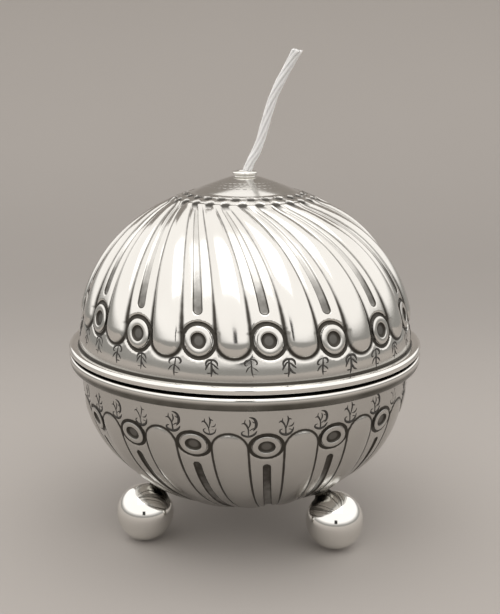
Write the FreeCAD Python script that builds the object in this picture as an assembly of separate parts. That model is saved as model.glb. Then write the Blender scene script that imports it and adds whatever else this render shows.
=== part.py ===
import FreeCAD, Part
import math, os

# A hinged silver string box: two raised half shells with swirled flutes, on three ball feet.
# Millimetres, +Z up, origin on the upright axis at the level that the feet stand on.
# The front is towards -Y, the hinge is at the back, towards +Y.

# Sheet and main shells. The half axes are those of the plain sheet, before the flutes are raised.
SHEET = 0.8
BOWL_RADIUS = 45.1
BOWL_DEPTH = 37.5
BOWL_WALL_RISE = 6.5
LID_STANDS_OUT = 0.2
LID_RADIUS = BOWL_RADIUS + LID_STANDS_OUT
LID_DOME = 41.6
RIM_GAP = 0.7

# Half-round rim wires, soldered round both mouths.
RIM_WIRE_WIDTH = 3.4
RIM_OUTER_RADIUS = BOWL_RADIUS + RIM_WIRE_WIDTH
LID_WIRE_HEIGHT = 2.6
BOWL_WIRE_HEIGHT = 2.9
WIRE_SHOULDER = 1.0

# Bearing collar inside the mouth of the bowl, which the lid drops over.
COLLAR_SHEET = 0.8
COLLAR_DEPTH = 4.0
COLLAR_STAND = 2.4
COLLAR_CLEARANCE = 0.35
COLLAR_SEAM = 0.05

# Flutes: wide raised lobes and flat straps in turn, swirling the same way on both halves.
LID_LOBES = 17
BOWL_LOBES = 16
LID_LOBE_RELIEF = 0.95
BOWL_LOBE_RELIEF = 0.75
LOBE_SHARE = 0.5
LID_SWIRL = 19.0
BOWL_SWIRL = 9.5
LID_LOBE_START = 4.9
BOWL_LOBE_START = 3.3
LID_FIRST_STRAP = 7.1
BOWL_FIRST_STRAP = 6.5

# The flat oval ring at the broad end of each strap, with a hollow in it, and the sunk drop down
# the strap's middle. Each oval is (width round the box, height up the strap).
LID_RING_SET = 4.3
LID_RING_OVAL = (6.9, 7.2)
LID_HOLLOW_OVAL = (3.4, 3.5)
LID_DROP_AFTER_RING = 6.5
BOWL_RING_SET = 3.6
BOWL_RING_OVAL = (7.1, 5.9)
BOWL_HOLLOW_OVAL = (4.1, 3.2)
BOWL_DROP_AFTER_RING = 5.4
DROP_WIDTH = 2.6
DROP_DEPTH = 0.6
RING_RISE = 0.35
RING_SHOULDER = 0.25
RING_HOLLOW_DEPTH = 0.6

# Crown of the lid: a chased border of two rows of oval hollows round a plain cone.
BORDER_RADIUS = 19.5
BORDER_WIDTH = 4.9
BORDER_RISE = 0.45
OUTER_ROW_INSET = 0.8
INNER_ROW_INSET = 3.6
HOLLOWS_PER_ROW = 27
HOLLOW_LENGTH = 3.4
HOLLOW_WIDTH = 2.6
HOLLOW_DEPTH = 0.45
CONE_TOP_RADIUS = 3.4
CONE_RISE = 3.4
CONE_BULGE = 0.35

# Roundel in the middle of the bowl's underside, where the flutes run out.
ROUNDEL_RADIUS = 11.0
ROUNDEL_RISE = 0.45

# Eyelet in the crown and the twine that is drawn through it.
TWINE_DIAMETER = 2.5
EYELET_CLEARANCE = 0.5
EYELET_WALL = 0.5
EYELET_FLANGE_RADIUS = 3.3
EYELET_HEIGHT = 2.4
EYELET_FOOT = 0.55
EYELET_WAIST = 0.75
EYELET_CHAMFER = 0.35
EYELET_TAIL = 0.7
TWINE_BALL_RADIUS = 27.0
TWINE_SEAT_GAP = 0.3
TWINE_JOIN_GAP = 0.3

# Routes of the twine: from the top of the ball up to the eyelet, and out of the eyelet.
# Heights count from the top of the ball, from the eyelet's tail and from its lip. Each corner
# is rounded with an arc that takes this share of its shorter run.
ROUTE_ROUNDING = 0.45
FEED_FROM_BALL = [(9.6, -5.5, -1.3), (8.8, -4.6, 6.5), (4.4, -2.4, 16.0)]
FEED_TO_EYELET = [(0.4, -0.2, -7.5), (0, 0, 0)]
END_IN_EYELET = [(-0.25, 0, 0)]
END_FREE = [(0.6, 0, 0.8), (3.7, 0.15, 6.0), (5.6, 0.35, 13.2), (7.6, 0.3, 19.8), (10.6, 0.2, 25.8),
            (13.75, 0, 31.4)]

# Ball feet, each on a short neck that is soldered square to the bowl.
FOOT_COUNT = 3
FOOT_RADIUS = 7.9
FOOT_NECK = 0.95
FOOT_NECK_RADIUS = 2.2
FOOT_LEVEL = 55.0
FOOT_FIRST_AZIMUTH = 54.0

# Hinge at the back: two knuckles on the bowl's wire, one on the lid's, and a pin.
HINGE_KNUCKLE_RADIUS = 1.5
HINGE_PIN_RADIUS = 0.65
HINGE_PIN_CLEARANCE = 0.08
HINGE_STANDOFF = 0.4
HINGE_KNUCKLE_LENGTH = 5.0
HINGE_END_GAP = 0.15
HINGE_PIN_HEAD = 0.3
HINGE_WEB_HEIGHT = 1.9

# Net of control points of one flute.
LOBE_COLUMNS = 9
STRAP_COLUMNS = 13
NET_FINE_STEP = 1.1
NET_LONG_STEP = 3.0
DEGREE = 3
SEW_ROOM = 0.1

# Levels worked out from the sizes above.
foot_slope = math.radians(FOOT_LEVEL)


def bowl_point(turn, offset=0.0):
    """Radius and depth below the bowl's widest level, for an angle round its ellipse."""
    reach = math.hypot(math.cos(turn) / BOWL_RADIUS, math.sin(turn) / BOWL_DEPTH)
    out = math.cos(turn) / BOWL_RADIUS / reach
    down = math.sin(turn) / BOWL_DEPTH / reach
    return BOWL_RADIUS * math.cos(turn) + offset * out, BOWL_DEPTH * math.sin(turn) + offset * down


foot_circle, foot_drop = bowl_point(foot_slope, FOOT_RADIUS + FOOT_NECK)
BOWL_LEVEL = FOOT_RADIUS + foot_drop
BOWL_MOUTH = BOWL_LEVEL + BOWL_WALL_RISE
LID_MOUTH = BOWL_MOUTH + RIM_GAP
LID_LEVEL = LID_MOUTH + LID_WIRE_HEIGHT

V = FreeCAD.Vector
UP = V(0, 0, 1)
CENTRE = V(0, 0, 0)


class HalfShell:
    """One raised half of the box: an elliptical dome with a straight wall at its mouth."""

    def __init__(self, radius, height, level, way, wall, lobes, relief, swirl, start,
                 ring, first, end_radius):
        self.radius, self.height, self.level, self.way, self.wall = radius, height, level, way, wall
        self.lobes, self.relief, self.swirl, self.first = lobes, relief, swirl, first
        self.pitch = 2 * math.pi / lobes
        self.lobe_angle = LOBE_SHARE * math.pi / lobes
        self.strap_angle = (1 - LOBE_SHARE) * math.pi / lobes
        self.lobe_half = self.lobe_angle * radius
        self.strap_half = self.strap_angle * radius
        self.start = start
        ring_set, self.ring_oval, self.hollow_oval, drop_after = ring
        self.ring_at = start + ring_set
        self.drop_at = self.ring_at + drop_after + DROP_WIDTH / 2
        self.end_turn = math.acos(end_radius / radius)

    def arc(self, turn):
        """Length along the meridian from the widest level, close enough for setting out."""
        steps = 40
        total = 0.0
        for i in range(steps):
            mid = turn * (i + 0.5) / steps
            total += math.hypot(self.radius * math.sin(mid), self.height * math.cos(mid)) * turn / steps
        return total

    def turn_at(self, length):
        """Angle round the ellipse for a length along the meridian."""
        turn = length / self.height
        for _ in range(6):
            slope = math.hypot(self.radius * math.sin(turn), self.height * math.cos(turn))
            turn -= (self.arc(turn) - length) / slope
        return turn

    def section(self, turn, offset=0.0):
        """Radius and height of the meridian, with an offset square to it."""
        if turn < 0:
            return self.radius + offset, self.level + self.way * self.height * turn
        across = math.cos(turn) / self.radius
        along = math.sin(turn) / self.height
        size = math.hypot(across, along)
        r = self.radius * math.cos(turn) + offset * across / size
        z = self.height * math.sin(turn) + offset * along / size
        return r, self.level + self.way * z

    def shift(self, turn):
        """Swirl of the flutes: they lean more and more towards the middle of the dome."""
        lean = 1 / math.cos(max(turn, 0)) - 1 / math.cos(self.ring_turn)
        return -self.way * math.radians(self.swirl) * lean

    def place(self, turn, azimuth, offset):
        r, z = self.section(turn, offset)
        angle = azimuth + self.shift(turn)
        return V(r * math.sin(angle), -r * math.cos(angle), z)

    def lobe_relief(self, side, turn, length):
        """Height of a lobe: a round-ended ridge. side runs from -1 to 1 across it."""
        past = length - self.start
        share = 1 - math.hypot(side, max(1 - past / self.lobe_half, 0))
        share = max(share, 0)
        return self.relief * math.cos(max(turn, 0)) * share * (2 - share)

    def drop_relief(self, side, turn, length):
        """Depth of the sunk drop on a strap, with a round lower end and a long taper."""
        scale = math.cos(max(turn, 0))
        x = side * self.strap_half * scale
        half = DROP_WIDTH / 2 * scale
        past = length - self.drop_at
        if past < 0:
            away = math.hypot(x, past)
        else:
            away = abs(x)
        share = min(away / half, 1)
        return -DROP_DEPTH * scale * (1 - share * share) ** 2

    def levels(self):
        """Turns of the net's rows: close together at the lobe's round end, wider beyond it."""
        turns = [-self.wall / self.height, -self.wall / self.height / 2, 0.0]
        fine_end = self.drop_at + NET_FINE_STEP
        last = self.arc(self.end_turn)
        count = max(4, round(fine_end / NET_FINE_STEP))
        for i in range(1, count + 1):
            turns.append(self.turn_at(fine_end * i / count))
        count = max(3, round((last - fine_end) / NET_LONG_STEP))
        for i in range(1, count + 1):
            turns.append(self.turn_at(fine_end + (last - fine_end) * i / count))
        return turns

    def net(self, middle, reach, relief, offset, columns):
        """Control points of one patch, a row for each level and a column for each step across."""
        rows = []
        for turn in self.turns:
            length = self.arc(turn) if turn > 0 else self.height * turn
            row = []
            for i in range(columns):
                side = 2 * i / (columns - 1) - 1
                azimuth = middle + side * reach
                row.append(self.place(turn, azimuth, relief(side, turn, length) + offset))
            rows.append(row)
        return rows

    def fluted(self):
        """The fluted sheet, open at both ends of its meridian, as one solid."""
        faces = []
        strap_middle = math.radians(self.first)
        lobe_middle = strap_middle + self.pitch / 2
        for middle, reach, relief, columns in (
                (lobe_middle, self.lobe_angle, self.lobe_relief, LOBE_COLUMNS),
                (strap_middle, self.strap_angle, self.drop_relief, STRAP_COLUMNS)):
            skin = self.net(middle, reach, relief, 0.0, columns)
            lining = self.net(middle, reach, relief, -SHEET, columns)
            faces.append(patch(skin))
            faces.append(patch(lining))
            faces.append(patch([skin[0], lining[0]]))
            faces.append(patch([skin[-1], lining[-1]]))
        pattern = []
        for k in range(self.lobes):
            for face in faces:
                pattern.append(turned(face, k * math.degrees(self.pitch)))
        shell = Part.makeShell(pattern)
        shell.sewShape()
        return solid_of(shell)

    def prepare(self):
        self.ring_turn = self.turn_at(self.ring_at)
        self.turns = self.levels()
        return self

    def ring_frame(self, k):
        """Centre and outward normal of one strap's ring."""
        azimuth = math.radians(self.first) + k * self.pitch
        foot = self.place(self.ring_turn, azimuth, 0.0)
        tip = self.place(self.ring_turn, azimuth, 1.0)
        return foot, tip - foot


def knots(count, degree):
    """Even knots for a clamped curve of so many control points."""
    inner = count - degree
    mults = [degree + 1] + [1] * (inner - 1) + [degree + 1]
    return mults, [float(i) for i in range(inner + 1)]


def patch(rows):
    """Smooth face with a net of control points; two rows give a ruled face."""
    degree_v = min(DEGREE, len(rows) - 1)
    row_mults, row_knots = knots(len(rows), degree_v)
    col_mults, col_knots = knots(len(rows[0]), DEGREE)
    surface = Part.BSplineSurface()
    surface.buildFromPolesMultsKnots(rows, row_mults, col_mults, row_knots, col_knots,
                                     False, False, degree_v, DEGREE)
    return surface.toShape()


def turned(shape, degrees):
    copy = shape.copy()
    copy.rotate(CENTRE, UP, degrees)
    return copy


def solid_of(shell):
    solid = Part.makeSolid(shell)
    if solid.Volume < 0:
        solid.reverse()
    return solid


def revolved(edges):
    """Ring or dome from a closed outline in the XZ plane."""
    face = Part.Face(Part.Wire(edges))
    return face.revolve(CENTRE, UP, 360)


def outline(points):
    """Straight edges round a list of (radius, height) points."""
    corners = [V(r, 0, z) for r, z in points]
    return [Part.makeLine(a, b) for a, b in zip(corners, corners[1:] + corners[:1])]


def save(shape, node):
    if shape.ShapeType == "Compound" and len(shape.Solids) == 1:
        shape = shape.Solids[0]
    shape.exportStep("parts/" + node + ".step")
    print(node, "valid", shape.isValid(), "solids", len(shape.Solids), "faces", len(shape.Faces),
          "volume", round(shape.Volume, 1))
    return shape


def oval_block(oval, low, high):
    """Upright block with an oval outline, from one height to another."""
    half_width, half_height = oval[0] / 2, oval[1] / 2
    if half_width >= half_height:
        curve = Part.Ellipse(V(0, 0, low), half_width, half_height)
    else:
        curve = Part.Ellipse(V(0, half_height, low), V(half_width, 0, low), V(0, 0, low))
    return Part.Face(Part.Wire(curve.toShape())).extrude(UP * (high - low))


def ring_tools(half):
    """The flat rings of one half, and the hollows sunk inside them."""
    ring = oval_block(half.ring_oval, -SHEET / 2, RING_RISE)
    brow = [edge for edge in ring.Edges if edge.BoundBox.ZMin > 0]
    ring = ring.makeFillet(RING_SHOULDER, brow)
    hollow = oval_block(half.hollow_oval, RING_RISE - RING_HOLLOW_DEPTH, RING_RISE + SHEET)
    rings = []
    hollows = []
    for k in range(half.lobes):
        foot, out = half.ring_frame(k)
        side = UP.cross(out).normalize()
        rise = out.cross(side)
        seat = FreeCAD.Placement(FreeCAD.Matrix(side.x, rise.x, out.x, foot.x,
                                                side.y, rise.y, out.y, foot.y,
                                                side.z, rise.z, out.z, foot.z, 0, 0, 0, 1))
        for tool, placed in ((ring, rings), (hollow, hollows)):
            one = tool.copy()
            one.Placement = seat
            placed.append(one)
    return rings, hollows


def lid_crown(half):
    """Border band and cone that close the top of the lid, with the hole for the eyelet."""
    outer_turn = math.acos(BORDER_RADIUS / LID_RADIUS)
    inner_radius = BORDER_RADIUS - BORDER_WIDTH
    inner_turn = math.acos(inner_radius / LID_RADIUS)
    middle_turn = (outer_turn + inner_turn) / 2
    hole = eyelet_bore() + EYELET_WALL
    under = -SHEET - SEW_ROOM
    corner = half.section(outer_turn, BORDER_RISE / 2)
    crest = half.section(middle_turn, BORDER_RISE)
    step = half.section(inner_turn, BORDER_RISE / 2)
    lip = half.section(inner_turn, 0.0)
    top = (CONE_TOP_RADIUS, lip[1] + CONE_RISE)
    rim_under = half.section(outer_turn, under)
    step_under = half.section(inner_turn, under)
    points = [corner, step, lip, top, (hole, top[1]), (hole, top[1] - SHEET),
              (CONE_TOP_RADIUS, top[1] - SHEET), step_under, rim_under]
    edges = outline(points)
    edges[0] = Part.Arc(V(corner[0], 0, corner[1]), V(crest[0], 0, crest[1]),
                        V(step[0], 0, step[1])).toShape()
    for side in (2, 6):
        ends = [point.Point for point in edges[side].Vertexes]
        middle = (ends[0] + ends[1]) * 0.5 + UP * CONE_BULGE
        edges[side] = Part.Arc(ends[0], middle, ends[1]).toShape()
    return revolved(edges), top[1]


def oval_hollows(half):
    """Two rows of oval hollows round the border, set between each other."""
    tool = Part.Ellipse(CENTRE, HOLLOW_LENGTH / 2, HOLLOW_WIDTH / 2)
    bow = Part.Arc(tool, 0, math.pi).toShape()
    base = Part.makeLine(V(HOLLOW_LENGTH / 2, 0, 0), V(-HOLLOW_LENGTH / 2, 0, 0))
    egg = Part.Face(Part.Wire([bow, base])).revolve(CENTRE, V(1, 0, 0), 360)
    hollows = []
    for row, inset in enumerate((OUTER_ROW_INSET, INNER_ROW_INSET)):
        turn = math.acos((BORDER_RADIUS - inset) / LID_RADIUS)
        r, z = half.section(turn, BORDER_RISE + HOLLOW_WIDTH / 2 - HOLLOW_DEPTH)
        for k in range(HOLLOWS_PER_ROW):
            azimuth = 360 / HOLLOWS_PER_ROW * (k + row / 2)
            one = egg.copy()
            one.translate(V(0, -r, z))
            hollows.append(turned(one, azimuth))
    return hollows


def make_lid(half):
    rings, hollows = ring_tools(half)
    crown, top = lid_crown(half)
    shell = half.fluted().fuse(rings + [crown])
    return shell.cut(hollows + oval_hollows(half)), top


def bowl_roundel(half):
    """Plain disc that closes the middle of the bowl."""
    turn = math.acos(ROUNDEL_RADIUS / BOWL_RADIUS)
    edge = half.section(turn, ROUNDEL_RISE)
    under = half.section(turn, -SHEET - SEW_ROOM)
    bottom = half.level - half.height
    return revolved(outline([edge, (0, bottom - ROUNDEL_RISE), (0, bottom + SHEET + SEW_ROOM), under]))


def make_bowl(half):
    rings, hollows = ring_tools(half)
    return half.fluted().fuse(rings + [bowl_roundel(half)]).cut(hollows)


def rim_wire(inner, flat, way, height):
    """Half-round wire with its flat side at the joint between the halves."""
    far = flat + way * height
    round_off = WIRE_SHOULDER * (1 - math.sqrt(0.5))
    inner_low = V(inner, 0, flat)
    outer_low = V(RIM_OUTER_RADIUS - WIRE_SHOULDER, 0, flat)
    shoulder = V(RIM_OUTER_RADIUS, 0, flat + way * WIRE_SHOULDER)
    mid_low = V(RIM_OUTER_RADIUS - round_off, 0, flat + way * round_off)
    crest = V((inner + RIM_OUTER_RADIUS) / 2 + WIRE_SHOULDER / 4, 0, far)
    heel = V(inner, 0, far - way * WIRE_SHOULDER)
    return revolved([Part.makeLine(inner_low, outer_low),
                     Part.Arc(outer_low, mid_low, shoulder).toShape(),
                     Part.Arc(shoulder, crest, heel).toShape(),
                     Part.makeLine(heel, inner_low)])


def make_collar():
    """Plain band, stepped so that it sits against the bowl's wall and clears the lid's."""
    seat = BOWL_RADIUS - SHEET - COLLAR_SEAM
    run = min(LID_RADIUS - SHEET - COLLAR_CLEARANCE, seat)
    bore = run - COLLAR_SHEET
    return revolved(outline([(bore, BOWL_MOUTH - COLLAR_DEPTH), (seat, BOWL_MOUTH - COLLAR_DEPTH),
                             (seat, BOWL_MOUTH), (run, BOWL_MOUTH), (run, BOWL_MOUTH + COLLAR_STAND),
                             (bore, BOWL_MOUTH + COLLAR_STAND)]))


def eyelet_bore():
    return TWINE_DIAMETER / 2 + EYELET_CLEARANCE


def make_eyelet(seat):
    """Turned eyelet: a flange on the crown, a waist, a lip, and a tail through the sheet."""
    bore = eyelet_bore()
    shank = bore + EYELET_WALL
    waist = (shank + EYELET_FLANGE_RADIUS) / 2
    foot = seat + EYELET_FOOT
    lip = foot + EYELET_WAIST
    top = seat + EYELET_HEIGHT
    tail = seat - SHEET - EYELET_TAIL
    return revolved(outline([(bore, tail), (shank, tail), (shank, seat), (EYELET_FLANGE_RADIUS, seat),
                             (EYELET_FLANGE_RADIUS, foot), (waist, foot + EYELET_CHAMFER),
                             (waist, lip), (EYELET_FLANGE_RADIUS, lip + EYELET_CHAMFER),
                             (EYELET_FLANGE_RADIUS, top - EYELET_CHAMFER),
                             (EYELET_FLANGE_RADIUS - EYELET_CHAMFER, top), (bore, top)]))


def make_foot(bowl, azimuth):
    """Polished ball with a neck that runs square into the bowl's sheet."""
    ball = V(foot_circle * math.sin(azimuth), -foot_circle * math.cos(azimuth), FOOT_RADIUS)
    r, drop = bowl_point(foot_slope)
    contact = V(r * math.sin(azimuth), -r * math.cos(azimuth), BOWL_LEVEL - drop)
    way = (contact - ball).normalize()
    neck = Part.makeCylinder(FOOT_NECK_RADIUS, FOOT_RADIUS + FOOT_NECK + SHEET / 2, ball, way)
    foot = Part.makeSphere(FOOT_RADIUS, ball).fuse(neck).cut(bowl)
    return max(foot.Solids, key=lambda solid: solid.Volume)


def make_knuckle(start, length, way, wires):
    """One hinge knuckle and the web behind its rim wire, on that half's side of the joint."""
    axis = V(start, hinge_y, hinge_z)
    barrel = Part.makeCylinder(HINGE_KNUCKLE_RADIUS, length, axis, V(1, 0, 0))
    web_start = RIM_OUTER_RADIUS - WIRE_SHOULDER
    web_low = hinge_z + RIM_GAP / 2 if way > 0 else hinge_z - RIM_GAP / 2 - HINGE_WEB_HEIGHT
    web = Part.makeBox(length, hinge_y - web_start, HINGE_WEB_HEIGHT, V(start, web_start, web_low))
    bore = HINGE_PIN_RADIUS + (HINGE_PIN_CLEARANCE if way > 0 else 0.0)
    hole = Part.makeCylinder(bore, length, axis, V(1, 0, 0))
    knuckle = barrel.fuse(web).cut([hole] + wires)
    return max(knuckle.Solids, key=lambda solid: solid.Volume).removeSplitter()


def make_pin():
    length = 3 * HINGE_KNUCKLE_LENGTH + 2 * HINGE_END_GAP
    return Part.makeCylinder(HINGE_PIN_RADIUS, length + 2 * HINGE_PIN_HEAD,
                             V(-length / 2 - HINGE_PIN_HEAD, hinge_y, hinge_z), V(1, 0, 0))


def along(points, origin):
    return [V(*p) + origin for p in points]


def twine(route, name):
    """Round twine along straight runs that are joined by tangent arcs."""
    edges = []
    radii = []
    start = route[0]
    for before, corner, after in zip(route, route[1:], route[2:]):
        back = before - corner
        ahead = after - corner
        turn = math.pi - back.getAngle(ahead)
        cut = ROUTE_ROUNDING * min(back.Length, ahead.Length)
        radii.append(cut / math.tan(turn / 2))
        enter = corner + back.normalize() * cut
        leave = corner + ahead.normalize() * cut
        inward = (enter + leave) * 0.5 - corner
        sag = radii[-1] / math.cos(turn / 2) - radii[-1]
        edges.append(Part.makeLine(start, enter))
        edges.append(Part.Arc(enter, corner + inward.normalize() * sag, leave).toShape())
        start = leave
    edges.append(Part.makeLine(start, route[-1]))
    path = Part.Wire(edges)
    section = Part.Wire(Part.makeCircle(TWINE_DIAMETER / 2, route[0], route[1] - route[0]))
    tube = path.makePipeShell([section], True, False)
    expected = math.pi * TWINE_DIAMETER ** 2 / 4 * path.Length
    print(name, "route", [[round(c, 2) for c in p] for p in route])
    print(name, "radii", [round(r, 1) for r in radii], "length", round(path.Length, 1),
          "volume ratio", round(tube.Volume / expected, 4))
    return tube


os.makedirs("parts", exist_ok=True)

hinge_y = RIM_OUTER_RADIUS + HINGE_STANDOFF + HINGE_KNUCKLE_RADIUS
hinge_z = (BOWL_MOUTH + LID_MOUTH) / 2

bowl_ring = (BOWL_RING_SET, BOWL_RING_OVAL, BOWL_HOLLOW_OVAL, BOWL_DROP_AFTER_RING)
lid_ring = (LID_RING_SET, LID_RING_OVAL, LID_HOLLOW_OVAL, LID_DROP_AFTER_RING)
bowl_half = HalfShell(BOWL_RADIUS, BOWL_DEPTH, BOWL_LEVEL, -1, BOWL_WALL_RISE, BOWL_LOBES,
                      BOWL_LOBE_RELIEF, BOWL_SWIRL, BOWL_LOBE_START, bowl_ring,
                      BOWL_FIRST_STRAP, ROUNDEL_RADIUS - SHEET).prepare()
lid_half = HalfShell(LID_RADIUS, LID_DOME, LID_LEVEL, 1, LID_LEVEL - LID_MOUTH, LID_LOBES,
                     LID_LOBE_RELIEF, LID_SWIRL, LID_LOBE_START, lid_ring, LID_FIRST_STRAP,
                     BORDER_RADIUS - SHEET).prepare()

bowl = save(make_bowl(bowl_half), "bowl")
lid_shape, crown_top = make_lid(lid_half)
lid = save(lid_shape, "lid")
bowl_wire = save(rim_wire(BOWL_RADIUS, BOWL_MOUTH, -1, BOWL_WIRE_HEIGHT), "bowl_rim_wire")
lid_wire = save(rim_wire(LID_RADIUS, LID_MOUTH, 1, LID_WIRE_HEIGHT), "lid_rim_wire")
save(make_collar(), "bowl_collar")
save(make_eyelet(crown_top), "string_eyelet")

foot_names = ["foot_right", "foot_back", "foot_left"]
for k in range(FOOT_COUNT):
    azimuth = math.radians(FOOT_FIRST_AZIMUTH + 360 / FOOT_COUNT * k)
    save(make_foot(bowl, azimuth), foot_names[k])

middle_start = -HINGE_KNUCKLE_LENGTH / 2
side_start = HINGE_KNUCKLE_LENGTH / 2 + HINGE_END_GAP
save(make_knuckle(middle_start, HINGE_KNUCKLE_LENGTH, 1, [lid_wire]), "lid_knuckle")
save(make_knuckle(-side_start - HINGE_KNUCKLE_LENGTH, HINGE_KNUCKLE_LENGTH, -1, [bowl_wire]),
     "bowl_knuckle_left")
save(make_knuckle(side_start, HINGE_KNUCKLE_LENGTH, -1, [bowl_wire]), "bowl_knuckle_right")
save(make_pin(), "hinge_pin")

ball_level = BOWL_LEVEL - BOWL_DEPTH + SHEET + SEW_ROOM + TWINE_SEAT_GAP + TWINE_BALL_RADIUS
save(Part.makeSphere(TWINE_BALL_RADIUS, V(0, 0, ball_level)), "twine_ball")

ball_top = V(0, 0, ball_level + TWINE_BALL_RADIUS)
eyelet_tail = V(0, 0, crown_top - SHEET - EYELET_TAIL)
eyelet_lip = V(0, 0, crown_top + EYELET_HEIGHT)
feed_route = along(FEED_FROM_BALL, ball_top) + along(FEED_TO_EYELET, eyelet_tail)
end_route = along(END_IN_EYELET, eyelet_tail + UP * TWINE_JOIN_GAP) + along(END_FREE, eyelet_lip)
save(twine(feed_route, "string_feed"), "string_feed")
save(twine(end_route, "string_end"), "string_end")
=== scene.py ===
import math

import bmesh
import bpy
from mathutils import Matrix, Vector


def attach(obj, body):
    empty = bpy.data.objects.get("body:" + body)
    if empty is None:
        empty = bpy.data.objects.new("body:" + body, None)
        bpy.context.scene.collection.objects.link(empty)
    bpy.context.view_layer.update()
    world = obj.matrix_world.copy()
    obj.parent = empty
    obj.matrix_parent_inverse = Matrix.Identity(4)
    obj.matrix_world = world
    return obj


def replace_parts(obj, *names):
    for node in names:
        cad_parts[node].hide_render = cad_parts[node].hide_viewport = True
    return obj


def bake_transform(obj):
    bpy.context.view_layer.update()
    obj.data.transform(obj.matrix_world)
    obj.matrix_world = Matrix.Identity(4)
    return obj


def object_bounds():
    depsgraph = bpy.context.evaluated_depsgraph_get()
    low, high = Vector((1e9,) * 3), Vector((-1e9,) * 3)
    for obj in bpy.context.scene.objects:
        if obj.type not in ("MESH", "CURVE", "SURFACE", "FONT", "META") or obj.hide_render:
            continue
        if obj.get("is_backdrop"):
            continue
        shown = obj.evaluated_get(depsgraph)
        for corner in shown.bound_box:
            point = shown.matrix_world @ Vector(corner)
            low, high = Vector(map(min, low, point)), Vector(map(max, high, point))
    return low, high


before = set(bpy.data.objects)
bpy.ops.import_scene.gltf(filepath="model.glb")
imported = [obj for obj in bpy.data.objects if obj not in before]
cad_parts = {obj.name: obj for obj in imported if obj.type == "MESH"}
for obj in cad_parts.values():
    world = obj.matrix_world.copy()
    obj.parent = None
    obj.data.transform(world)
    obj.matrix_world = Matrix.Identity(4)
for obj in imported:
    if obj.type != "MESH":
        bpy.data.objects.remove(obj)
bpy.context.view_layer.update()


# Camera. It looks down on the box by 13 degrees from 27 cm in front of it, as the photograph
# does, and the box stands a little to the left of the middle of the picture.
lens = bpy.data.cameras.new("camera")
lens.sensor_fit = "VERTICAL"
lens.sensor_height = 36
lens.lens = 57.82
lens.shift_x = 0.0084
lens.clip_start = 0.01
camera = bpy.data.objects.new("camera", lens)
camera.location = (0, -0.267, 0.1259)
camera.rotation_euler = (math.radians(90 - 13.16), 0, 0)
bpy.context.scene.collection.objects.link(camera)
bpy.context.scene.camera = camera
bpy.context.scene.view_settings.view_transform = "Standard"


# Twine. White cotton, six soft strands laid up to 2.5 mm with hardly any twist, runs from the ball
# up to the eyelet and ends above the lid, cut off and a little open. Its routes are the CAD's.
MM = 0.001
TWINE_DIAMETER = 2.5
FEED_POINTS = [(9.6, -5.5, 62.67), (8.8, -4.6, 70.47), (4.4, -2.4, 79.97), (0.4, -0.2, 89.85),
               (0, 0, 97.35)]
END_POINTS = [(-0.25, 0, 97.65), (0.6, 0, 102.05), (3.7, 0.15, 107.25), (5.6, 0.35, 114.45),
              (7.6, 0.3, 121.05), (10.6, 0.2, 127.05), (13.75, 0, 132.65)]


class Link:
    """A socket of a node tree. Arithmetic on it adds Math nodes."""

    def __init__(self, tree, socket):
        self.tree, self.socket = tree, socket

    def into(self, socket):
        self.tree.links.new(self.socket, socket)

    def node(self, kind, settings=None, sockets=None, output=0):
        """Adds a node: its settings first, then the values or links of its sockets."""
        made = self.tree.nodes.new(kind)
        for name, value in (settings or {}).items():
            setattr(made, name, value)
        for name, value in (sockets or {}).items():
            for one in value if isinstance(value, list) else [value]:
                if isinstance(one, Link):
                    one.into(made.inputs[name])
                else:
                    made.inputs[name].default_value = one
        return Link(self.tree, made.outputs[output])

    def maths(self, operation, *others):
        return self.node("ShaderNodeMath", {"operation": operation},
                         dict(enumerate((self,) + others)))

    def swapped(self, operation, other):
        return self.node("ShaderNodeMath", {"operation": operation}, {0: other, 1: self})

    def __add__(self, other):
        return self.maths("ADD", other)

    def __sub__(self, other):
        return self.maths("SUBTRACT", other)

    def __rsub__(self, other):
        return self.swapped("SUBTRACT", other)

    def __mul__(self, other):
        return self.maths("MULTIPLY", other)

    def __truediv__(self, other):
        return self.maths("DIVIDE", other)

    def __rtruediv__(self, other):
        return self.swapped("DIVIDE", other)

    def __pow__(self, other):
        return self.maths("POWER", other)

    __radd__ = __add__
    __rmul__ = __mul__

    def parts(self):
        """The x, y and z of a vector."""
        split = self.node("ShaderNodeSeparateXYZ", {}, {0: self}).socket.node
        return [Link(self.tree, socket) for socket in split.outputs]

    def least(self, other):
        return self.maths("MINIMUM", other)

    def most(self, other):
        return self.maths("MAXIMUM", other)

    def bell(self, width):
        """1 at zero, falling away smoothly on both sides."""
        share = self / width
        return (share * share * -1).maths("EXPONENT")

    def step(self, low, high):
        """0 below low, 1 above high and smooth between them."""
        return self.node("ShaderNodeMapRange", {"interpolation_type": "SMOOTHSTEP"},
                         {"Value": self, "From Min": low, "From Max": high})

    def blend(self, first, second):
        """Colour that goes from the first to the second as this goes from 0 to 1."""
        pair = [one if isinstance(one, Link) else (*one, 1) for one in (first, second)]
        return self.node("ShaderNodeMix", {"data_type": "RGBA"}, {0: self, 6: pair[0], 7: pair[1]},
                         output=2)


def new_finish(name, **steady):
    """Material, its shader, and the link of Object coordinates in its tree."""
    material = bpy.data.materials.new(name)
    material.use_nodes = True
    tree = material.node_tree
    shader = tree.nodes["Principled BSDF"]
    for socket, value in steady.items():
        shader.inputs[socket.replace("_", " ")].default_value = value
    place = tree.nodes.new("ShaderNodeTexCoord")
    return material, shader, Link(tree, place.outputs["Object"])


def noise(place, scale, detail=3.0):
    return place.node("ShaderNodeTexNoise", {}, {"Vector": place, "Scale": scale, "Detail": detail})


def stored(place, name):
    """Value that a shape has stored on its vertices."""
    return place.node("ShaderNodeAttribute", {"attribute_name": name}, output="Fac")


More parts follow.
